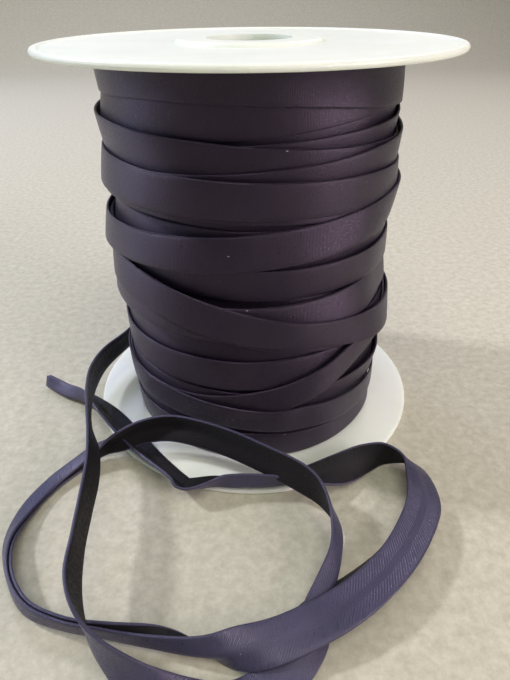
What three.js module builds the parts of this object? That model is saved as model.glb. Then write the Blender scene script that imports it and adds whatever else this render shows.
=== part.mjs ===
// Reel of bias binding: two plastic flanges on a core tube, wound full with half-inch satin
// binding, with the free end of the binding lying in loops around the foot of the reel.
// Millimetres, +Z up. Everything is modelled about the reel's axis, standing on z = 0, and the
// whole is then moved so that the origin is the middle of its footprint.
import * as THREE from 'three';

// Driving dimensions
const FLANGE_RADIUS = 72.5;
const FLANGE_THICKNESS = 2.1;
const RIM_LIP_WIDTH = 2.4;
const LIP_HEIGHT = 0.5;
const LIP_SLOPE = 0.8;
const HUB_RADIUS = 25.5;
const HUB_FLARE = 0.4;
const HUB_BEVEL_WIDTH = 0.6;
const HUB_BEVEL_HEIGHT = 0.4;
const TOP_BOSS_HEIGHT = 1.2;
const BORE_RADIUS = 15;
const REEL_HEIGHT = 147.7;
const CORE_RADIUS = 25;
const CORE_WALL = 3;
const WOUND_RADIUS = 54.9;
const WOUND_RADIUS_TOP = 53.2;
const SLIM_FROM = 106;
const SLIM_TO = 145;
const FOOT_DRAWN_IN = 0.9;
const FOOT_DRAWN_IN_MORE = 0.6;
const FOOT_MOST_AT = -113;
const FOOT_FROM = 6;
const FOOT_TO = 20;
const TAPE_WIDTH = 12.1;
const BAND_LEVEL = 0.8;
const BAND_FADED = 1.15;
const STRIP_THICKNESS = 1.2;
const SEAT_GAP = 0.3;

// Fineness of the facets
const ROUND_STEPS = 72;
const RIM_FACETS = [60, 30, 0, -30, -60];
const WOUND_ROWS = 38;
const STRIP_STEPS_PER_STATION = 3;
const RUN_REACH = 0.05;

// Broad unevenness of the wound form: its depth, how many swells go round the reel and the
// height over which a swell leans by one radian.
const LUMPS = [
  { depth: 0.5, swells: 2, lean: 14 },
  { depth: 0.4, swells: 3, lean: -9 },
];

// The outermost turns, top to bottom: height of the middle of the tape at the left, at the
// front and at the right (SIDE_ANGLE degrees round), and how far the turn stands proud.
const SIDE_ANGLE = 60;
const TURNS = [
  { left: 140.2, front: 140.9, right: 136.6, rise: 1.1 },
  { left: 129.5, front: 132.0, right: 136.6, rise: 0.8 },
  { left: 121.2, front: 118.4, right: 115.4, rise: 0.5 },
  { left: 111.6, front: 108.9, right: 106.6, rise: 1.1 },
  { left: 88.6, front: 92.0, right: 96.4, rise: 1.1 },
  { left: 82.6, front: 80.2, right: 79.7, rise: 0.8 },
  { left: 76.6, front: 65.0, right: 53.2, rise: 1.3 },
  { left: 54.5, front: 54.0, right: 53.0, rise: 0.5 },
  { left: 43.8, front: 44.0, right: 44.2, rise: 1.0 },
  { left: 26.4, front: 31.3, right: 48.5, rise: 1.3 },
  { left: 27.0, front: 23.9, right: 18.0, rise: 1.0 },
  { left: 10.5, front: 10.0, right: 8.6, rise: 0.9 },
];

// The loose end, from where it leaves the winding to its cut end: a station about every
// 15 mm with the middle of the strip, the turn of its width about its run (0 is flat,
// 90 stands on edge with the edge that was uppermost on the winding on top, 180 lies flat the
// other way up) and its width.
const LOOSE_END = [
  { x: -17.6, y: 55.4, z: 28, turn: 90, width: 12.5 },
  { x: -35.6, y: 46.9, z: 24, turn: 90, width: 12.5 },
  { x: -52, y: 33, z: 19.5, turn: 85, width: 12 },
  { x: -63.3, y: 13.1, z: 17.3, turn: 72, width: 11.6 },
  { x: -70.8, y: -2.2, z: 16.7, turn: 80, width: 11.9 },
  { x: -72.8, y: -17.5, z: 17, turn: 87, width: 12 },
  { x: -71, y: -32.6, z: 17.6, turn: 87, width: 12 },
  { x: -67, y: -47.3, z: 18.2, turn: 89, width: 12 },
  { x: -61.7, y: -61.5, z: 18.7, turn: 101, width: 12 },
  { x: -58.4, y: -76.3, z: 18.9, turn: 101, width: 12 },
  { x: -57, y: -91.2, z: 18.9, turn: 97, width: 12 },
  { x: -55.8, y: -106, z: 18.4, turn: 96, width: 12 },
  { x: -53.8, y: -119.9, z: 17.2, turn: 103, width: 12 },
  { x: -48, y: -131.1, z: 14.8, turn: 95, width: 12 },
  { x: -38.2, y: -139, z: 10.4, turn: 73, width: 12 },
  { x: -26.3, y: -144.4, z: 5.5, turn: 34, width: 11.7 },
  { x: -9, y: -145.5, z: 2, turn: 2, width: 10 },
  { x: 5, y: -140, z: 2, turn: 5, width: 8 },
  { x: 14, y: -131, z: 2, turn: 10, width: 7.5 },
  { x: 20.5, y: -119, z: 2.4, turn: 18, width: 8 },
  { x: 27, y: -104.4, z: 4.2, turn: 49, width: 8.8 },
  { x: 28.8, y: -93.2, z: 7.1, turn: 54, width: 11.1 },
  { x: 25.3, y: -83.9, z: 10.3, turn: 77, width: 12 },
  { x: 17.5, y: -76.4, z: 13.2, turn: 102, width: 12.1 },
  { x: 4.3, y: -68.2, z: 15.4, turn: 98, width: 11.7 },
  { x: -12.5, y: -58.5, z: 16.6, turn: 94, width: 11.4 },
  { x: -30.9, y: -50.3, z: 16.4, turn: 87, width: 10.5 },
  { x: -44.1, y: -48.2, z: 14.3, turn: 73, width: 9.5 },
  { x: -54.9, y: -49.9, z: 11.2, turn: 58, width: 8.8 },
  { x: -63.6, y: -52.4, z: 7.8, turn: 19, width: 7.8 },
  { x: -71.4, y: -58.4, z: 4.7, turn: 5, width: 6.8 },
  { x: -79, y: -67.2, z: 2.9, turn: 1, width: 6.3 },
  { x: -84.6, y: -80, z: 3, turn: 12, width: 6.3 },
  { x: -85.8, y: -94.1, z: 3.8, turn: 49, width: 6.9 },
  { x: -80.3, y: -108.1, z: 4.7, turn: 81, width: 7.7 },
  { x: -71.2, y: -119.3, z: 5, turn: 81, width: 8.3 },
  { x: -59, y: -124.5, z: 4.9, turn: 92, width: 7.7 },
  { x: -45.4, y: -127.3, z: 4.9, turn: 93, width: 6.9 },
  { x: -31.4, y: -130.2, z: 5, turn: 84, width: 6.3 },
  { x: -14.9, y: -133.5, z: 5.5, turn: 58, width: 7.3 },
  { x: -3.5, y: -133, z: 6.4, turn: 27, width: 10.2 },
  { x: 7.8, y: -130.2, z: 7.4, turn: 13, width: 13.1 },
  { x: 19.8, y: -123.9, z: 8.2, turn: 5, width: 14.4 },
  { x: 33.5, y: -114.8, z: 8.2, turn: -4, width: 14.2 },
  { x: 46.9, y: -102.9, z: 7.8, turn: -7, width: 13.2 },
  { x: 57, y: -89.9, z: 7.5, turn: -4, width: 12.2 },
  { x: 62, y: -78.3, z: 7.4, turn: 7, width: 11 },
  { x: 61.5, y: -64.2, z: 7.5, turn: 42, width: 11.9 },
  { x: 52.4, y: -58.4, z: 7.1, turn: 83, width: 12.2 },
  { x: 43.7, y: -60.1, z: 6.4, turn: 113, width: 12.1 },
  { x: 32.7, y: -65.2, z: 5.8, turn: 144, width: 11.8 },
  { x: 20.4, y: -68.8, z: 5.1, turn: 166, width: 10.2 },
  { x: 7.9, y: -70.3, z: 4.5, turn: 186, width: 8.4 },
  { x: -6.6, y: -70.5, z: 4.1, turn: 194, width: 8 },
  { x: -15, y: -69.9, z: 3.7, turn: 188, width: 9.3 },
  { x: -26, y: -72, z: 3.9, turn: 187, width: 10.9 },
  { x: -29.8, y: -69.4, z: 4.3, turn: 193, width: 8.4 },
  { x: -41.5, y: -57.2, z: 4.1, turn: 193, width: 8.4 },
  { x: -53.2, y: -43.3, z: 4.1, turn: 190, width: 9.7 },
  { x: -64.6, y: -29.2, z: 3.8, turn: 187, width: 10.4 },
  { x: -76.1, y: -17.8, z: 3.2, turn: 183, width: 10.6 },
  { x: -87.6, y: -11, z: 2.4, turn: 177, width: 10.6 },
  { x: -95.7, y: -6, z: 1.4, turn: 186, width: 10.2 },
];

const plastic = { color: 0xe9ebe2, roughness: 0.45, metalness: 0 };
const satin = { color: 0x2d2430, roughness: 0.5, metalness: 0 };

function piece(name, geometry, finish) {
  const mesh = new THREE.Mesh(geometry, new THREE.MeshStandardMaterial(finish));
  mesh.name = name;
  return mesh;
}

// A closed outline of [radius, height] pairs, turned about the Z axis.
function turned(outline, steps = ROUND_STEPS) {
  const closed = outline.concat([outline[0]]);
  const points = closed.map(([radius, height]) => new THREE.Vector2(radius, height));
  return new THREE.LatheGeometry(points, steps).rotateX(Math.PI / 2);
}

// One flange with its inner face on height 0 and its outer face above it.
function flangeGeometry(bossHeight) {
  const web = FLANGE_THICKNESS - LIP_HEIGHT;
  const round = FLANGE_THICKNESS / 2;
  const lip = FLANGE_RADIUS - RIM_LIP_WIDTH;
  const rim = RIM_FACETS.map((degrees) => {
    const angle = THREE.MathUtils.degToRad(degrees);
    return [FLANGE_RADIUS - round + round * Math.cos(angle), round + round * Math.sin(angle)];
  });
  return turned([
    [BORE_RADIUS, 0],
    [BORE_RADIUS, web + bossHeight],
    [HUB_RADIUS - HUB_BEVEL_WIDTH, web + bossHeight],
    [HUB_RADIUS, web + bossHeight - HUB_BEVEL_HEIGHT],
    [HUB_RADIUS + HUB_FLARE, web],
    [lip - LIP_SLOPE, web],
    [lip, FLANGE_THICKNESS],
    [FLANGE_RADIUS - round, FLANGE_THICKNESS],
    ...rim,
    [FLANGE_RADIUS - round, 0],
  ].reverse());
}

function flangeTop() {
  const mesh = piece('flange_top', flangeGeometry(TOP_BOSS_HEIGHT), plastic);
  mesh.position.z = REEL_HEIGHT - FLANGE_THICKNESS;
  return mesh;
}

function flangeBottom() {
  const mesh = piece('flange_bottom', flangeGeometry(LIP_HEIGHT), plastic);
  mesh.rotation.x = Math.PI;
  mesh.position.z = FLANGE_THICKNESS;
  return mesh;
}

function core() {
  const low = FLANGE_THICKNESS + SEAT_GAP;
  const high = REEL_HEIGHT - FLANGE_THICKNESS - SEAT_GAP;
  const inner = CORE_RADIUS - CORE_WALL;
  const outline = [[inner, low], [CORE_RADIUS, low], [CORE_RADIUS, high], [inner, high]];
  return piece('core', turned(outline), plastic);
}

// Height of a turn's middle at an angle round the reel, 0 at the front and 90 at the right.
function turnHeight(turn, angle) {
  const side = THREE.MathUtils.degToRad(SIDE_ANGLE);
  const tilt = (turn.right - turn.left) / (2 * Math.sin(side));
  const sag = ((turn.left + turn.right) / 2 - turn.front) / (1 - Math.cos(side));
  return turn.front + tilt * Math.sin(angle) + sag * (1 - Math.cos(angle));
}

// Radius of the wound form: nearly a cylinder, a little slimmer at the top and drawn in at
// its foot, most at the left, uneven where turns bunch, with the outermost turns as raised bands.
function woundRadius(angle, height) {
  const { smoothstep, degToRad } = THREE.MathUtils;
  const slim = smoothstep(height, SLIM_FROM, SLIM_TO) * (WOUND_RADIUS - WOUND_RADIUS_TOP);
  const drawnIn = FOOT_DRAWN_IN + FOOT_DRAWN_IN_MORE * Math.cos(angle - degToRad(FOOT_MOST_AT));
  const foot = (1 - smoothstep(height, FOOT_FROM, FOOT_TO)) * drawnIn;
  let lumps = 0;
  for (const { depth, swells, lean } of LUMPS) {
    lumps += depth * Math.sin(swells * angle + height / lean);
  }
  let rise = 0;
  for (const turn of TURNS) {
    const off = Math.abs(height - turnHeight(turn, angle)) / (TAPE_WIDTH / 2);
    rise = Math.max(rise, turn.rise * (1 - smoothstep(off, BAND_LEVEL, BAND_FADED)));
  }
  return WOUND_RADIUS - slim - foot + lumps + rise;
}

function winding() {
  const low = FLANGE_THICKNESS + SEAT_GAP;
  const high = REEL_HEIGHT - FLANGE_THICKNESS - SEAT_GAP;
  const inner = CORE_RADIUS + SEAT_GAP;
  const outline = [[inner, high], [inner, low]];
  for (let row = 0; row <= WOUND_ROWS; row++) {
    outline.push([WOUND_RADIUS, low + ((high - low) * row) / WOUND_ROWS]);
  }
  const geometry = turned(outline);
  const place = geometry.attributes.position;
  for (let i = 0; i < place.count; i++) {
    const [x, y, z] = [place.getX(i), place.getY(i), place.getZ(i)];
    const radius = Math.hypot(x, y);
    if (radius > (inner + WOUND_RADIUS) / 2) {
      const grown = woundRadius(Math.atan2(x, -y), z) / radius;
      place.setXYZ(i, x * grown, y * grown, z);
    }
  }
  return piece('winding', geometry, satin);
}

// A smooth value between table rows: position u runs from 0 at the first row.
function between(rows, column, u) {
  const last = rows.length - 1;
  const i = Math.min(Math.floor(u), last - 1);
  const t = u - i;
  const b = rows[i][column];
  const c = rows[i + 1][column];
  const a = i > 0 ? rows[i - 1][column] : 2 * b - c;
  const d = i + 2 <= last ? rows[i + 2][column] : 2 * c - b;
  const bend = 2 * a - 5 * b + 4 * c - d;
  const twist = 3 * b - a - 3 * c + d;
  return 0.5 * (2 * b + (c - a) * t + bend * t * t + twist * t * t * t);
}

function stripCentre(u) {
  return new THREE.Vector3(...['x', 'y', 'z'].map((column) => between(LOOSE_END, column, u)));
}

// The four corners of the strip's section at u, in turn about its run.
function stripSection(u) {
  const centre = stripCentre(u);
  const before = stripCentre(Math.max(u - RUN_REACH, 0));
  const run = stripCentre(Math.min(u + RUN_REACH, LOOSE_END.length - 1)).sub(before).normalize();
  const side = new THREE.Vector3(0, 0, 1).cross(run).normalize();
  const above = run.clone().cross(side);
  const turn = THREE.MathUtils.degToRad(between(LOOSE_END, 'turn', u));
  const across = side.multiplyScalar(Math.cos(turn)).addScaledVector(above, Math.sin(turn));
  const out = run.clone().cross(across);
  const half = between(LOOSE_END, 'width', u) / 2;
  return [[1, 1], [-1, 1], [-1, -1], [1, -1]].map(([a, b]) => centre.clone()
    .addScaledVector(across, a * half)
    .addScaledVector(out, (b * STRIP_THICKNESS) / 2));
}

function looseEnd() {
  const steps = (LOOSE_END.length - 1) * STRIP_STEPS_PER_STATION;
  const points = [];
  const faces = [];
  for (let step = 0; step <= steps; step++) {
    stripSection(step / STRIP_STEPS_PER_STATION).forEach((corner) => points.push(...corner));
    for (let k = 0; step < steps && k < 4; k++) {
      const [a, b] = [4 * step + k, 4 * step + ((k + 1) % 4)];
      faces.push(a, b, a + 4, b, b + 4, a + 4);
    }
  }
  const end = 4 * steps;
  faces.push(0, 2, 1, 0, 3, 2, end, end + 1, end + 2, end, end + 2, end + 3);
  const geometry = new THREE.BufferGeometry();
  geometry.setAttribute('position', new THREE.Float32BufferAttribute(points, 3));
  geometry.setIndex(faces);
  return piece('loose_end', geometry, satin);
}

const reel = new THREE.Group();
reel.add(flangeBottom(), flangeTop(), core(), winding(), looseEnd());
reel.updateMatrixWorld(true);
const extent = new THREE.Box3().setFromObject(reel, true);
const middle = extent.getCenter(new THREE.Vector3());
reel.position.set(-middle.x, -middle.y, -extent.min.z);

export default reel;
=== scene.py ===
import math

import bmesh
import bpy
import numpy as np
from mathutils import Matrix, Vector


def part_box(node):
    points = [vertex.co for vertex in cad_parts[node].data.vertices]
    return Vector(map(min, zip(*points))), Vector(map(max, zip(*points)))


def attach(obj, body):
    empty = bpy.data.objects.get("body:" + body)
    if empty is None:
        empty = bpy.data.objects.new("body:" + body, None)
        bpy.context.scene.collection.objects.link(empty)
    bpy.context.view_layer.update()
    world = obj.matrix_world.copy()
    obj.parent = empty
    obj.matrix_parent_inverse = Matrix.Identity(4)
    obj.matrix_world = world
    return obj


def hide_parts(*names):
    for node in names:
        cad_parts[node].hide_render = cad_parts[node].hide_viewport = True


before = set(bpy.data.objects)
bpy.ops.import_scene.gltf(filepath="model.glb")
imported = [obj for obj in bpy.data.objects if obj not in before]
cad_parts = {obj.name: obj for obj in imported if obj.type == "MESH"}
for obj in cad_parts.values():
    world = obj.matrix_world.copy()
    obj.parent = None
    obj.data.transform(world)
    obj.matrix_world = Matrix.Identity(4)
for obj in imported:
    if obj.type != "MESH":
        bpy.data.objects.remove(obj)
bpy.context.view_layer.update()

MM = 0.001

# The reel stands on its bottom flange, and its axis is the middle of that flange.
FLANGE_LOW, FLANGE_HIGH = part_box("flange_bottom")
AXIS = Vector(((FLANGE_LOW.x + FLANGE_HIGH.x) / 2, (FLANGE_LOW.y + FLANGE_HIGH.y) / 2, 0.0))

# Driving sizes of the reel and the binding, in millimetres
FLANGE_THICKNESS = 2.1
REEL_HEIGHT = 147.7
CORE_RADIUS = 25.0
SEAT_GAP = 0.3
WOUND_LOW = FLANGE_THICKNESS + SEAT_GAP
WOUND_HIGH = REEL_HEIGHT - FLANGE_THICKNESS - SEAT_GAP
TAPE_WIDTH = 12.1
TAPE_DEPTH = 0.8
CUT_WIDTH = 24.6
CLOTH_THICKNESS = 0.24


def make_camera():
    """The photograph's viewpoint, given about the reel's axis."""
    stand_off, height, lens = 211.7, 162.25, 28.39
    pitch, yaw, roll = math.radians(33.22), 0.0041, -0.0109
    ahead = Vector((math.sin(yaw) * math.cos(pitch), math.cos(yaw) * math.cos(pitch), -math.sin(pitch)))
    level = Vector((math.cos(yaw), -math.sin(yaw), 0.0))
    upward = level.cross(ahead)
    right = level * math.cos(roll) + upward * math.sin(roll)
    above = upward * math.cos(roll) - level * math.sin(roll)
    camera = bpy.data.objects.new("camera", bpy.data.cameras.new("camera"))
    camera.data.lens = lens
    camera.data.sensor_width = 36.0
    camera.data.sensor_fit = "AUTO"
    camera.data.clip_start = 0.01
    camera.data.clip_end = 50.0
    place = Matrix((right, above, -ahead)).transposed().to_4x4()
    place.translation = AXIS + Vector((0.0, -stand_off * MM, height * MM))
    camera.matrix_world = place
    bpy.context.scene.collection.objects.link(camera)
    bpy.context.scene.camera = camera


make_camera()


# Materials


class Finish:
    """A material and the few calls that wire its nodes."""

    def __init__(self, name, **sockets):
        self.material = bpy.data.materials.new(name)
        self.material.use_nodes = True
        self.tree = self.material.node_tree
        self.shader = self.tree.nodes["Principled BSDF"]
        for socket, value in sockets.items():
            self.shader.inputs[socket.replace("_", " ")].default_value = value

    def node(self, kind, **settings):
        made = self.tree.nodes.new("ShaderNode" + kind)
        for name, value in settings.items():
            if hasattr(made, name):
                setattr(made, name, value)
            else:
                made.inputs[name.replace("_", " ")].default_value = value
        return made

    def link(self, source, target):
        self.tree.links.new(source, target)

    def math(self, operation, first, second):
        made = self.node("Math", operation=operation)
        for socket, value in zip(made.inputs, (first, second)):
            if isinstance(value, (int, float)):
                socket.default_value = value
            else:
                self.link(value, socket)
        return made.outputs[0]

    def mix(self, share, first, second):
        made = self.node("Mix", data_type="RGBA")
        for socket, value in zip((made.inputs[0], made.inputs[6], made.inputs[7]), (share, first, second)):
            if isinstance(value, (int, float, tuple)):
                socket.default_value = value
            else:
                self.link(value, socket)
        return made.outputs[2]

    def ramp(self, source, low, high):
        made = self.node("MapRange", From_Min=low, From_Max=high)
        self.link(source, made.inputs["Value"])
        return made.outputs["Result"]

    def bump(self, height, distance, strength=1.0):
        made = self.node("Bump", Strength=strength, Distance=distance)
        self.link(height, made.inputs["Height"])
        self.link(made.outputs["Normal"], self.shader.inputs["Normal"])


# The cloth's patterns, about how many there are to the metre
TWILL_COUNT = 560.0
RIB_COUNT = 620.0
FIBRE_COUNT = 1400.0
SLUB_COUNT = 700.0
DRIFT_COUNT = 55.0
LINT_COUNT = 95.0
TWILL_ANGLE = math.radians(32)
# The size of a speck of lint within its cell, and the share of cells that hold none
LINT_RADIUS = 0.035
LINT_FREE = 0.86


def satin(name, shade, sheen_shade, specular_shade, roughness):
    """Polyester satin: a fine twill, a broken lustre along the run and a few specks of lint."""
    cloth = Finish(name, Roughness=roughness, IOR=1.6, Sheen_Weight=0.09, Sheen_Roughness=0.4)
    cloth.shader.inputs["Sheen Tint"].default_value = (*sheen_shade, 1.0)
    cloth.shader.inputs["Specular Tint"].default_value = (*specular_shade, 1.0)
    cloth.shader.inputs["Anisotropic"].default_value = 0.6
    tangent = cloth.node("Tangent", direction_type="UV_MAP", uv_map="tape")
    cloth.link(tangent.outputs["Tangent"], cloth.shader.inputs["Tangent"])
    run = cloth.node("UVMap", uv_map="tape").outputs["UV"]
    twill_turn = cloth.node("Mapping")
    twill_turn.inputs["Rotation"].default_value = (0.0, 0.0, TWILL_ANGLE)
    cloth.link(run, twill_turn.inputs["Vector"])
    twill = cloth.node(
        "TexWave", wave_type="BANDS", Scale=TWILL_COUNT, Distortion=1.2, Detail=2.0, Detail_Scale=2.5
    )
    cloth.link(twill_turn.outputs["Vector"], twill.inputs["Vector"])
    ribs = cloth.node("TexWave", wave_type="BANDS", bands_direction="Y", Scale=RIB_COUNT, Distortion=0.6)
    cloth.link(run, ribs.inputs["Vector"])
    weave = cloth.math("ADD", twill.outputs["Fac"], cloth.math("MULTIPLY", ribs.outputs["Fac"], 0.5))
    fibre = cloth.node("TexNoise", Scale=FIBRE_COUNT, Detail=3.0, Roughness=0.6)
    cloth.link(run, fibre.inputs["Vector"])
    drift = cloth.node("TexNoise", Scale=DRIFT_COUNT, Detail=4.0, Roughness=0.55)
    cloth.link(run, drift.inputs["Vector"])
    dark = tuple(0.72 * part for part in shade) + (1.0,)
    light = tuple(1.35 * part for part in shade) + (1.0,)
    colour = cloth.mix(cloth.ramp(drift.outputs["Fac"], 0.3, 0.7), dark, light)
    threads = cloth.math("MULTIPLY", cloth.math("ADD", weave, fibre.outputs["Fac"]), 0.24)
    colour = cloth.mix(threads, colour, tuple(2.1 * part for part in shade) + (1.0,))
    lint = cloth.node("TexVoronoi", Scale=LINT_COUNT, Randomness=1.0)
    cloth.link(run, lint.inputs["Vector"])
    near = cloth.math("LESS_THAN", lint.outputs["Distance"], LINT_RADIUS)
    cell = cloth.node("SeparateColor")
    cloth.link(lint.outputs["Color"], cell.inputs["Color"])
    chosen = cloth.math("GREATER_THAN", cell.outputs["Red"], LINT_FREE)
    speck = cloth.math("MULTIPLY", cloth.math("MULTIPLY", near, chosen), 0.55)
    colour = cloth.mix(speck, colour, (0.55, 0.52, 0.55, 1.0))
    cloth.link(colour, cloth.shader.inputs["Base Color"])
    slub = cloth.node("TexNoise", Scale=SLUB_COUNT, Detail=2.0, Roughness=0.6)
    cloth.link(run, slub.inputs["Vector"])
    mottled = cloth.math("ADD", slub.outputs["Fac"], fibre.outputs["Fac"])
    rough = cloth.math("ADD", cloth.math("MULTIPLY", mottled, 0.4), roughness - 0.4)
    cloth.link(rough, cloth.shader.inputs["Roughness"])
    height = cloth.math("ADD", weave, cloth.math("MULTIPLY", fibre.outputs["Fac"], 0.8))
    height = cloth.math("ADD", height, cloth.math("MULTIPLY", slub.outputs["Fac"], 1.2))
    cloth.bump(height, 0.00008, 0.55)
    return cloth.material


def moulded_plastic():
    """Milky polystyrene: slightly see-through, with faint flow marks and handling scuffs."""
    plastic = Finish("milky_plastic", Roughness=0.36, IOR=1.5, Subsurface_Weight=0.35)
    plastic.shader.inputs["Subsurface Radius"].default_value = (0.006, 0.007, 0.005)
    plastic.shader.inputs["Subsurface Scale"].default_value = 0.6
    place = plastic.node("TexCoord").outputs["Object"]
    clouds = plastic.node("TexNoise", Scale=38.0, Detail=4.0, Roughness=0.5)
    plastic.link(place, clouds.inputs["Vector"])
    cloudy = plastic.ramp(clouds.outputs["Fac"], 0.35, 0.65)
    colour = plastic.mix(cloudy, (0.80, 0.87, 0.77, 1.0), (0.87, 0.93, 0.84, 1.0))
    plastic.link(colour, plastic.shader.inputs["Base Color"])
    scuffs = plastic.node("TexNoise", Scale=420.0, Detail=6.0, Roughness=0.65)
    plastic.link(place, scuffs.inputs["Vector"])
    rough = plastic.math("ADD", plastic.math("MULTIPLY", scuffs.outputs["Fac"], 0.25), 0.26)
    plastic.link(rough, plastic.shader.inputs["Roughness"])
    plastic.bump(scuffs.outputs["Fac"], 0.00006, 0.4)
    return plastic.material


SATIN_FACE = satin("satin_face", (0.0065, 0.0040, 0.0085), (0.66, 0.60, 1.0), (0.84, 0.68, 1.0), 0.38)
# The loose tape's face is the winding's own satin painted about five times lighter and bluer. This is
# painted light for the light it catches from above as it lies on the table.
SATIN_LOOSE_PAINTED_LIGHT = satin("satin_loose_painted_light", (0.030, 0.029, 0.056), (0.66, 0.62, 1.0), (0.84, 0.76, 1.0), 0.38)
SATIN_BACK = satin("satin_back", (0.006, 0.005, 0.006), (0.10, 0.10, 0.12), (0.4, 0.4, 0.45), 0.62)
MILKY_PLASTIC = moulded_plastic()


# Mesh helpers


def grid_mesh(name, across, along, place, unroll):
    """A grid of cloth whose vertices are moved to place, an array of rows of points in millimetres
    about the reel's axis, with its UV from unroll, the width and length it has unrolled."""
    mesh = bpy.data.meshes.new(name)
    bm = bmesh.new()
    bmesh.ops.create_grid(bm, x_segments=across, y_segments=along, size=0.5)
    run = bm.loops.layers.uv.new("tape")
    for face in bm.faces:
        face.smooth = True
        for loop in face.loops:
            u, v = loop.vert.co.x + 0.5, loop.vert.co.y + 0.5
            loop[run].uv = (u * unroll[0] * MM, v * unroll[1] * MM + unroll[2] * MM)
    points = place.reshape(-1, 3) * MM + np.array(AXIS)
    for vert, point in zip(bm.verts, points):
        vert.co = point
    return mesh, bm


def finish_piece(name, mesh, bm, materials):
    """The satin piece that this mesh makes, on the reel's only body."""
    bm.normal_update()
    bm.to_mesh(mesh)
    bm.free()
    for material in materials:
        mesh.materials.append(material)
    piece = bpy.data.objects.new(name, mesh)
    bpy.context.scene.collection.objects.link(piece)
    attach(piece, "root")
    return piece


# The winding: turns of binding laid one over another


# Heights of the middle of the tape in mm at the left (60 degrees round from the front), front, right
# and back, the width that shows, and where and how far the turn stands off: degrees, mm and spread.
# The first row lies deepest.
TURN_COLUMNS = ("left", "front", "right", "back", "width", "slack_at", "slack", "spread")
TURNS = [
    dict(zip(TURN_COLUMNS, row))
    for row in (
        (8.6, 9.6, 5.4, 10.0, 12.0, 60, 0.3, 30),
        (30.4, 29.6, 27.4, 31.0, 12.0, 62, 0.8, 14),
        (54.5, 54.0, 53.0, 57.0, 12.1, -60, 0.0, 20),
        (43.8, 44.0, 44.2, 47.0, 12.1, -30, 0.9, 30),
        (68.2, 61.4, 53.4, 66.0, 12.1, 5, 0.9, 24),
        (64.2, 65.0, 66.0, 62.0, 12.1, -40, 1.3, 26),
        (68.6, 66.6, 68.6, 76.0, 12.1, 4, 0.9, 20),
        (93.6, 92.3, 92.0, 99.0, 12.1, -55, 0.2, 20),
        (86.6, 88.0, 88.5, 90.0, 12.1, 50, 0.9, 26),
        (82.6, 80.2, 79.6, 84.0, 12.1, 15, 0.9, 34),
        (121.0, 121.0, 125.0, 128.0, 12.1, 52, 0.7, 12),
        (117.5, 118.6, 121.4, 125.0, 12.1, 56, 0.9, 10),
        (129.5, 132.0, 136.6, 133.0, 12.1, -60, 0.2, 20),
        (106.2, 105.8, 104.0, 107.0, 12.1, -64, 0.9, 8),
        (108.9, 106.9, 104.0, 103.0, 12.1, -20, 0.3, 20),
        (121.6, 118.4, 115.2, 122.0, 12.1, -60, 0.3, 14),
        (109.0, 111.2, 115.6, 117.0, 12.1, 60, 0.6, 12),
        (110.6, 108.9, 106.2, 112.0, 12.1, -10, 0.7, 40),
        (140.7, 141.4, 136.6, 140.5, 12.0, -60, 0.1, 20),
        (25.9, 31.3, 50.0, 41.0, 12.1, 24, 1.5, 16),
        (76.6, 65.0, 53.6, 70.0, 11.8, -60, 0.9, 10),
        (27.0, 24.2, 18.0, 21.0, 11.9, 38, 1.5, 16),
        (88.6, 92.0, 96.8, 95.0, 11.7, -72, 1.0, 12),
    )
]
UNDER_TURNS = 25
HEIGHT_CELLS = 300
AROUND_CELLS = 360
CELL_HEIGHT = REEL_HEIGHT / HEIGHT_CELLS
SAMPLES_ACROSS = 25
HEIGHT_BLEND = 31
# The winding's radii and the play of its turns, in mm
MASS_RADIUS = 47.5
WINDING_RADIUS = 55
EDGE_CLEARANCE = 0.1
MOST_LEAN = 1.1
TURN_GAP = 0.03
FACE_CROWN = 0.12
# A turn lies on all but the highest few points under it.
BEDDING = 0.93
# How far along the pattern each turn starts after the one before, in mm
UNROLL_STAGGER = 37.0
# Vertices closer than this are one, in metres.
DOUBLES = 1e-6
# The wound form: mean radius at rising heights, in mm
WOUND_PROFILE = (
    (2, 54.2),
    (12, 55.0),
    (30, 55.4),
    (50, 55.4),
    (62, 55.2),
    (82, 55.2),
    (98, 54.4),
    (108, 55.0),
    (118, 54.4),
    (126, 53.6),
    (146, 53.0),
)


def wrapped_smooth(values, spread):
    """Values round the reel, smoothed by a bell curve of that spread in degrees."""
    reach = int(3 * spread)
    bell = np.exp(-0.5 * (np.arange(-reach, reach + 1) / spread) ** 2)
    padded = np.concatenate([values[-reach:], values, values[:reach]])
    return np.convolve(padded, bell / bell.sum(), mode="valid")


def wrapped_high(values, reach):
    """The highest value within reach steps each way, the ends joined."""
    return np.max([np.roll(values, k) for k in range(-reach, reach + 1)], axis=0)


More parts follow.
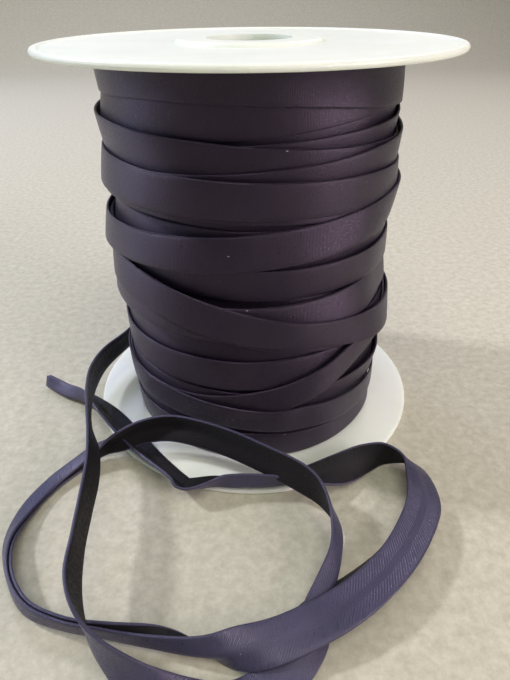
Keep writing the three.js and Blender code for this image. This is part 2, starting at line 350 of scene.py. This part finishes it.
class Wound:
    """How far out the winding has grown, cell by cell, as turns are laid on it."""

    def __init__(self):
        self.around = np.radians(np.arange(AROUND_CELLS))
        self.heights = (np.arange(HEIGHT_CELLS) + 0.5) * CELL_HEIGHT
        self.start = np.full(HEIGHT_CELLS, MASS_RADIUS + 2.0)
        self.restart()

    def restart(self):
        self.radius = np.tile(self.start, (AROUND_CELLS, 1))

    def settle(self, turns):
        """Lays the turns once to see how far they build up, and starts again from what leaves
        them at the wound form's radius."""
        for turn in turns:
            self.lay(turn)
        heights, radii = zip(*WOUND_PROFILE)
        over = self.radius.mean(0) - np.interp(self.heights, heights, radii)
        broad = np.ones(HEIGHT_BLEND) / HEIGHT_BLEND
        over = np.convolve(np.pad(over, HEIGHT_BLEND // 2, mode="edge"), broad, mode="valid")
        self.start = self.start - over
        self.restart()

    def lay(self, turn):
        """Lays one turn on what is there. Returns its lower and upper edge, radius and lean by angle."""
        left, front, right, back = (turn[side] for side in ("left", "front", "right", "back"))
        second = (0.75 * front + 0.25 * back - (left + right) / 2) / 1.5
        middle = (
            (front + back) / 2
            - second
            + (front - back) / 2 * np.cos(self.around)
            + (right - left) / math.sqrt(3) * np.sin(self.around)
            + second * np.cos(2 * self.around)
            + turn["waver"]
        )
        low = np.maximum(middle - turn["width"] / 2, WOUND_LOW + EDGE_CLEARANCE)
        high = np.minimum(middle + turn["width"] / 2, WOUND_HIGH - EDGE_CLEARANCE)
        shares = np.linspace(-1, 1, SAMPLES_ACROSS)
        span = low[:, None] + (shares[None] + 1) / 2 * (high - low)[:, None]
        cell = np.clip((span / CELL_HEIGHT - 0.5).round().astype(int), 0, HEIGHT_CELLS - 1)
        under = self.radius[np.arange(AROUND_CELLS)[:, None], cell]
        tilt = (under * shares).sum(1) / (shares**2).sum()
        tilt = wrapped_smooth(np.clip(tilt, -MOST_LEAN, MOST_LEAN), 5)
        rest = np.quantile(under - tilt[:, None] * shares, BEDDING, axis=1)
        rest = wrapped_smooth(wrapped_high(rest, 4), 3.5) + TURN_GAP
        degrees = np.degrees(self.around)
        away = np.abs((degrees - turn["slack_at"] + 180) % 360 - 180)
        rest = rest + turn["slack"] * np.exp(-0.5 * (away / turn["spread"]) ** 2)
        from_middle = self.heights[None] - ((low + high) / 2)[:, None]
        half = ((high - low) / 2)[:, None]
        reach = np.abs(from_middle) <= half
        part = from_middle / half
        laid = rest[:, None] + tilt[:, None] * part + TAPE_DEPTH
        self.radius = np.where(reach, np.maximum(self.radius, laid), self.radius)
        return low, high, rest, tilt


def tape_section(face_steps, width):
    """Points round the tape's own section, edge folds rounded: across it and out from its back."""
    fold = TAPE_DEPTH / 2
    flat = width / 2 - fold
    across = np.linspace(-flat, flat, face_steps + 1)
    face = [(x, TAPE_DEPTH + FACE_CROWN * (1 - (x / flat) ** 2)) for x in across]
    arc = [math.radians(a) for a in (45, 0, -45)]
    right = [(flat + fold * math.cos(a), fold + fold * math.sin(a)) for a in arc]
    back = [(x, 0.0) for x in np.linspace(flat, -flat, 4)]
    left = [(-flat - fold * math.cos(a), fold + fold * math.sin(a)) for a in reversed(arc)]
    ring = face + right + back + left
    return np.array(ring + ring[:1])


def lay_turns(name, wound, turns, face_steps, steps):
    """One mesh of all these turns, each a closed ring of tape."""
    joined = bmesh.new()
    joined.loops.layers.uv.new("tape")
    for order, turn in enumerate(turns):
        low, high, rest, tilt = wound.lay(turn)
        section = tape_section(face_steps, turn["width"])
        angles = np.linspace(0, 2 * math.pi, steps + 1)
        at = np.append(wound.around, 2 * math.pi)
        bottom, top, lift, lean = (
            np.interp(angles, at, np.append(v, v[0])) for v in (low, high, rest, tilt)
        )
        share = section[None, :, 0] / (turn["width"] / 2)
        height = (top + bottom)[:, None] / 2 + share * (top - bottom)[:, None] / 2
        radius = lift[:, None] + lean[:, None] * share + section[None, :, 1]
        turned = angles[:, None] + 0 * height
        place = np.stack([radius * np.sin(turned), -radius * np.cos(turned), height], -1)
        unroll = (2 * CUT_WIDTH, 2 * math.pi * WINDING_RADIUS, UNROLL_STAGGER * order)
        mesh, bm = grid_mesh(name, len(section) - 1, steps, place, unroll)
        bmesh.ops.remove_doubles(bm, verts=bm.verts, dist=DOUBLES)
        bmesh.ops.recalc_face_normals(bm, faces=bm.faces)
        bm.to_mesh(mesh)
        bm.free()
        joined.from_mesh(mesh)
        bpy.data.meshes.remove(mesh)
    mesh = bpy.data.meshes.new(name)
    return finish_piece(name, mesh, joined, [SATIN_FACE])


def wavering(seed, size):
    """A small irregular rise and fall of a turn round the reel."""
    draw = np.random.default_rng(seed)
    around = np.radians(np.arange(AROUND_CELLS))
    return size * sum(np.sin(k * around + draw.uniform(0, 2 * math.pi)) / k for k in (3, 5, 8))


def under_turns():
    """The deeper turns, evenly up the reel and laid every third one first."""
    draw = np.random.default_rng(11)
    turns = []
    pitch = (WOUND_HIGH - WOUND_LOW - TAPE_WIDTH) / (UNDER_TURNS - 1)
    order = [k for start in range(3) for k in range(start, UNDER_TURNS, 3)]
    for k in order:
        middle = WOUND_LOW + TAPE_WIDTH / 2 + k * pitch
        tilt = draw.uniform(-4, 4)
        turns.append(
            dict(
                left=middle - tilt,
                front=middle + draw.uniform(-2, 2),
                right=middle + tilt,
                back=middle + draw.uniform(-3, 3),
                width=TAPE_WIDTH,
                slack_at=draw.uniform(0, 360),
                slack=draw.uniform(0, 0.5),
                spread=16,
                waver=wavering(100 + k, 0.35),
            )
        )
    return turns


for number, turn in enumerate(TURNS):
    turn["waver"] = wavering(number, 0.12)
deeper = under_turns()
wound = Wound()
wound.settle(deeper + TURNS)
inner_turns = lay_turns("inner_turns", wound, deeper, 4, 120)
outer_turns = lay_turns("outer_turns", wound, TURNS, 8, 180)
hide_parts("winding")


def wound_mass():
    """The solid of deeper turns that closes the gaps between the laid ones."""
    mesh = bpy.data.meshes.new("wound_mass")
    bm = bmesh.new()
    inner = CORE_RADIUS + SEAT_GAP
    outline = [(inner, WOUND_LOW), (MASS_RADIUS - 1.0, WOUND_LOW), (MASS_RADIUS, 24.0)]
    outline += [(MASS_RADIUS, 110.0), (MASS_RADIUS - 1.5, WOUND_HIGH), (inner, WOUND_HIGH)]
    verts = [bm.verts.new((radius * MM, 0.0, height * MM)) for radius, height in outline]
    for first, second in zip(verts, verts[1:] + verts[:1]):
        bm.edges.new((first, second))
    bmesh.ops.spin(
        bm,
        geom=bm.edges[:],
        cent=(0, 0, 0),
        axis=(0, 0, 1),
        angle=2 * math.pi,
        steps=96,
        use_merge=True,
    )
    bmesh.ops.remove_doubles(bm, verts=bm.verts, dist=DOUBLES)
    bmesh.ops.recalc_face_normals(bm, faces=bm.faces)
    run = bm.loops.layers.uv.new("tape")
    for face in bm.faces:
        face.smooth = True
        for loop in face.loops:
            loop[run].uv = (loop.vert.co.z, math.atan2(loop.vert.co.x, loop.vert.co.y) * 0.05)
    bmesh.ops.translate(bm, verts=bm.verts, vec=AXIS)
    return finish_piece("wound_mass", mesh, bm, [SATIN_BACK])


wound_mass()


# The loose end


# Stations about every 15 mm: the middle of the tape in mm about the reel's axis, the turn of its
# width about its run (0 flat, 90 on edge, 180 the other way up), how far its right half is folded
# in under its left and how far the turned-in edge on its left is let out, all three in degrees.
END_COLUMNS = ("x", "y", "z", "turn", "fold", "let_out")
LOOSE_END = np.array(
    [
        (-17.6, 55.4, 28, 90, 0, 0),
        (-35.6, 46.9, 24, 90, 0, 0),
        (-52, 33, 19.5, 85, 0, 0),
        (-63.3, 13.1, 17.3, 72, 12, 0),
        (-70.8, -2.2, 16.7, 80, 12, 0),
        (-72.8, -17.5, 17, 87, 10, 0),
        (-71, -32.6, 17.6, 87, 5, 0),
        (-67, -47.3, 18.2, 89, 0, 0),
        (-61.7, -61.5, 18.7, 101, 0, 0),
        (-58.4, -76.3, 18.9, 101, 0, 0),
        (-57, -91.2, 18.9, 97, 0, 0),
        (-55.8, -106, 18.4, 96, 0, 0),
        (-53.8, -119.9, 17.2, 103, 0, 0),
        (-48, -131.1, 14.8, 95, 0, 0),
        (-38.2, -139, 10.4, 73, 0, 0),
        (-26.3, -144.4, 5.5, 34, 0, 0),
        (-9, -145.5, 2, 2, 0, 0),
        (5, -140, 2, 5, 0, 0),
        (14, -131, 2, 10, 10, 0),
        (20.5, -119, 2.4, 18, 55, 0),
        (27, -104.4, 4.2, 49, 75, 0),
        (28.8, -93.2, 7.1, 54, 32, 0),
        (25.3, -83.9, 10.3, 77, 8, 0),
        (17.5, -76.4, 13.2, 102, 0, 0),
        (4.3, -68.2, 15.4, 98, 14, 0),
        (-12.5, -58.5, 16.6, 94, 20, 0),
        (-30.9, -50.3, 16.4, 87, 42, 0),
        (-44.1, -48.2, 14.3, 73, 60, 0),
        (-54.9, -49.9, 11.2, 58, 72, 0),
        (-63.6, -52.4, 7.8, 19, 100, 0),
        (-71.4, -58.4, 4.7, 5, 150, 0),
        (-79, -67.2, 2.9, 1, 174, 0),
        (-84.6, -80, 3, 12, 178, 0),
        (-85.8, -94.1, 3.8, 49, 178, 0),
        (-80.3, -108.1, 4.7, 81, 178, 0),
        (-71.2, -119.3, 5, 81, 178, 0),
        (-59, -124.5, 4.9, 92, 178, 0),
        (-45.4, -127.3, 4.9, 93, 172, 0),
        (-31.4, -130.2, 5, 84, 138, 0),
        (-14.9, -133.5, 5.5, 58, 70, 0),
        (-3.5, -133, 6.4, 27, 18, 0),
        (7.8, -130.2, 7.4, 13, 0, 70),
        (19.8, -123.9, 8.2, 5, 0, 125),
        (33.5, -114.8, 8.2, -4, 0, 130),
        (46.9, -102.9, 7.8, -7, 0, 115),
        (57, -89.9, 7.5, -4, 0, 75),
        (62, -78.3, 7.4, 7, 20, 20),
        (61.5, -64.2, 7.5, 42, 0, 0),
        (52.4, -58.4, 7.1, 83, 0, 0),
        (43.7, -60.1, 6.4, 113, 0, 0),
        (32.7, -65.2, 5.8, 144, 10, 0),
        (20.4, -68.8, 5.1, 166, 55, 0),
        (7.9, -70.3, 4.5, 186, 85, 0),
        (-6.6, -70.5, 4.1, 194, 92, 0),
        (-15, -69.9, 3.7, 188, 70, 0),
        (-26, -72, 3.9, 187, 35, 0),
        (-29.8, -69.4, 4.3, 193, 60, 0),
        (-41.5, -57.2, 4.1, 193, 40, 0),
        (-53.2, -43.3, 4.1, 190, 30, 0),
        (-64.6, -29.2, 3.8, 187, 40, 0),
        (-76.1, -17.8, 3.2, 181, 95, 0),
        (-88.2, -10.6, 2.8, 150, 176, 0),
        (-99.5, -3, 3.4, 112, 176, 0),
    ],
    float,
)
ROWS_PER_STATION = 7
ROW_BLEND = 3
MOST_FOLD = 176
MOST_LET_OUT = 150
FACE_FLAT = 5.7
FOLD_ARC = 0.9
CENTRE_ARC = 1.25
FLAP_SPRING = -0.8
FLOOR_GAP = 0.5
# Cut edges that lie this close under the fold are joined, in mm
EDGES_MEET = 0.3
# Where the cloth's own width is divided, from its middle out to its cut edge, in mm
CLOTH_MARKS = (0, 0.42, 0.84, 1.25, 2.7, 4.2, 5.7, 5.88, 6.06, 6.24, 6.42, 6.6, 8.5, 10.4, 12.3)


def between(rows, at):
    """Smooth values between the rows of a table, at rising positions that run from 0."""
    last = len(rows) - 1
    rows = np.vstack([2 * rows[0] - rows[1], rows, 2 * rows[-1] - rows[-2]])
    i = np.minimum(at.astype(int), last - 1)
    t = (at - i)[:, None]
    a, b, c, d = (rows[i + k] for k in range(4))
    return 0.5 * (2 * b + (c - a) * t + (2 * a - 5 * b + 4 * c - d) * t**2 + (3 * b - a - 3 * c + d) * t**3)


def smoothed(values, spread):
    """Values along the run, smoothed by a bell curve of that spread in rows."""
    bell = np.exp(-0.5 * (np.arange(-3 * spread, 3 * spread + 1) / spread) ** 2)
    return np.convolve(np.pad(values, 3 * spread, mode="edge"), bell / bell.sum(), mode="valid")


def loose_end():
    """The free binding as one sheet of cloth: both cut edges turned in, folded in half in places."""
    at = np.linspace(0, len(LOOSE_END) - 1, (len(LOOSE_END) - 1) * ROWS_PER_STATION + 1)
    rows = between(LOOSE_END, at)
    column = dict(zip(END_COLUMNS, rows.T))
    centre = np.stack([column["x"], column["y"], column["z"]], -1)
    turn = np.radians(column["turn"])
    fold = np.radians(np.clip(smoothed(column["fold"], ROW_BLEND), 0, MOST_FOLD))
    let_out = np.radians(np.clip(smoothed(column["let_out"], ROW_BLEND), 0, MOST_LET_OUT))
    run = np.gradient(centre, axis=0)
    run /= np.linalg.norm(run, axis=1)[:, None]
    side = np.cross((0.0, 0.0, 1.0), run)
    side /= np.linalg.norm(side, axis=1)[:, None]
    above = np.cross(run, side)
    across = side * np.cos(turn)[:, None] + above * np.sin(turn)[:, None]
    out = np.cross(run, across)

    marks = np.array([-m for m in reversed(CLOTH_MARKS[1:])] + list(CLOTH_MARKS))
    mid = (marks[1:] + marks[:-1]) / 2
    flat_turn = math.radians(180 - FLAP_SPRING)
    past_left = np.clip((mid + FACE_FLAT + FOLD_ARC) / FOLD_ARC, 0, 1)
    past_centre = np.clip((mid + CENTRE_ARC) / (2 * CENTRE_ARC), 0, 1)
    past_right = np.clip((mid - FACE_FLAT) / FOLD_ARC, 0, 1)
    heading = (
        flat_turn * (1 - past_left)[None]
        + fold[:, None] * (1 - past_centre)[None]
        - np.maximum(flat_turn - let_out, 0)[:, None] * past_right[None]
    )
    step = np.diff(marks)[None]
    along = np.concatenate([np.zeros((len(at), 1)), np.cumsum(np.cos(heading) * step, 1)], 1)
    rise = np.concatenate([np.zeros((len(at), 1)), np.cumsum(np.sin(heading) * step, 1)], 1)
    spine = len(CLOTH_MARKS) - 1
    along -= along[:, spine : spine + 1]
    rise -= rise[:, spine : spine + 1]
    rise -= rise[:, spine : spine + 7].mean(1)[:, None]
    along -= smoothed((along.max(1) + along.min(1)) / 2, ROW_BLEND)[:, None]
    place = centre[:, None] + across[:, None] * along[..., None] + out[:, None] * rise[..., None]
    lowest = np.maximum(FLOOR_GAP - place[..., 2].min(1), 0)
    place[..., 2] += smoothed(wrapped_high(lowest, ROW_BLEND + 1), ROW_BLEND)[:, None]

    length = np.linalg.norm(np.diff(centre, axis=0), axis=1).sum()
    unroll = (CUT_WIDTH, length, 0.0)
    mesh, bm = grid_mesh("loose_tape", len(marks) - 1, len(at) - 1, place, unroll)
    turned_in = [abs(middle) > FACE_FLAT + FOLD_ARC for middle in mid]
    for number, face in enumerate(bm.faces):
        face.material_index = int(turned_in[number % len(mid)])
    bm.verts.ensure_lookup_table()
    cut_edges = [bm.verts[row * len(marks) + end] for row in range(len(at)) for end in (0, len(marks) - 1)]
    bmesh.ops.remove_doubles(bm, verts=cut_edges, dist=EDGES_MEET * MM)
    # The thickness grows on the side that shows, whose material is the next one in the list: on the loose
    # tape that is the satin painted lighter, as painted light.
    piece = finish_piece("loose_tape", mesh, bm, [SATIN_BACK, SATIN_LOOSE_PAINTED_LIGHT, SATIN_BACK])
    cloth = piece.modifiers.new("cloth", "SOLIDIFY")
    cloth.thickness = CLOTH_THICKNESS * MM
    cloth.offset = -1.0
    cloth.material_offset = 1
    cloth.use_even_offset = False
    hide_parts("loose_end")
    return piece


loose_end()


# The plastic reel


for node in ("flange_bottom", "flange_top", "core"):
    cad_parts[node].data.materials.clear()
    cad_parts[node].data.materials.append(MILKY_PLASTIC)


# Floor and light


def backdrop():
    """A pale sheet that runs under the reel and rises far behind it."""
    floor = Finish("pale_floor", Roughness=0.85)
    grain = floor.node("TexNoise", Scale=260.0, Detail=5.0, Roughness=0.7)
    floor.link(floor.node("TexCoord").outputs["Object"], grain.inputs["Vector"])
    share = floor.ramp(grain.outputs["Fac"], 0.3, 0.7)
    floor.link(
        floor.mix(share, (0.44, 0.42, 0.335, 1.0), (0.61, 0.59, 0.485, 1.0)),
        floor.shader.inputs["Base Color"],
    )
    mesh = bpy.data.meshes.new("floor")
    bm = bmesh.new()
    profile = [(-3.0, 0.0), (1.2, 0.0)]
    profile += [(1.2 + 0.6 * math.sin(a), 0.6 - 0.6 * math.cos(a)) for a in np.radians(range(10, 91, 10))]
    profile += [(1.8, 3.0)]
    verts = [bm.verts.new((-3.0, y, z)) for y, z in profile]
    edges = [bm.edges.new(pair) for pair in zip(verts, verts[1:])]
    grown = bmesh.ops.extrude_edge_only(bm, edges=edges)
    moved = [item for item in grown["geom"] if isinstance(item, bmesh.types.BMVert)]
    bmesh.ops.translate(bm, verts=moved, vec=(6.0, 0.0, 0.0))
    bmesh.ops.recalc_face_normals(bm, faces=bm.faces)
    for face in bm.faces:
        face.smooth = True
    bm.to_mesh(mesh)
    bm.free()
    mesh.materials.append(floor.material)
    sheet = bpy.data.objects.new("floor", mesh)
    bpy.context.scene.collection.objects.link(sheet)


def soft_light(name, place, target, size, power, colour):
    light = bpy.data.lights.new(name, "AREA")
    light.shape = "RECTANGLE"
    light.size, light.size_y = size
    light.energy = power
    light.color = colour
    lamp = bpy.data.objects.new(name, light)
    lamp.location = place
    aim = Vector(target) - Vector(place)
    lamp.rotation_mode = "QUATERNION"
    lamp.rotation_quaternion = aim.to_track_quat("-Z", "Y")
    bpy.context.scene.collection.objects.link(lamp)


backdrop()
soft_light("left_lamp", (-1.64, 0.44, 1.36), (0.0, 0.0, 0.02), (0.2, 0.2), 24.0, (0.94, 0.94, 1.0))
soft_light("left_window", (-1.25, 0.25, 0.45), (0.0, 0.0, 0.07), (1.0, 0.7), 4.6, (0.66, 0.72, 1.0))
soft_light("right_window", (0.95, -0.60, 0.50), (0.0, 0.0, 0.07), (0.5, 0.6), 9.0, (1.0, 0.86, 0.86))
soft_light("back_left_window", (-0.50, 0.95, 1.05), (0.0, 0.0, 0.03), (0.6, 0.5), 6.0, (0.62, 0.70, 1.0))
soft_light("back_right_window", (0.55, 0.95, 1.05), (0.0, 0.0, 0.03), (0.6, 0.5), 5.0, (1.0, 0.88, 0.96))
soft_light("overhead", (0.10, -0.50, 1.25), (0.0, 0.0, 0.0), (0.9, 0.7), 7.5, (1.0, 0.98, 0.86))
world = bpy.data.worlds.new("studio")
world.use_nodes = True
world.node_tree.nodes["Background"].inputs["Color"].default_value = (0.80, 0.79, 0.72, 1.0)
world.node_tree.nodes["Background"].inputs["Strength"].default_value = 0.12
bpy.context.scene.world = world
bpy.context.scene.view_settings.view_transform = "Standard"
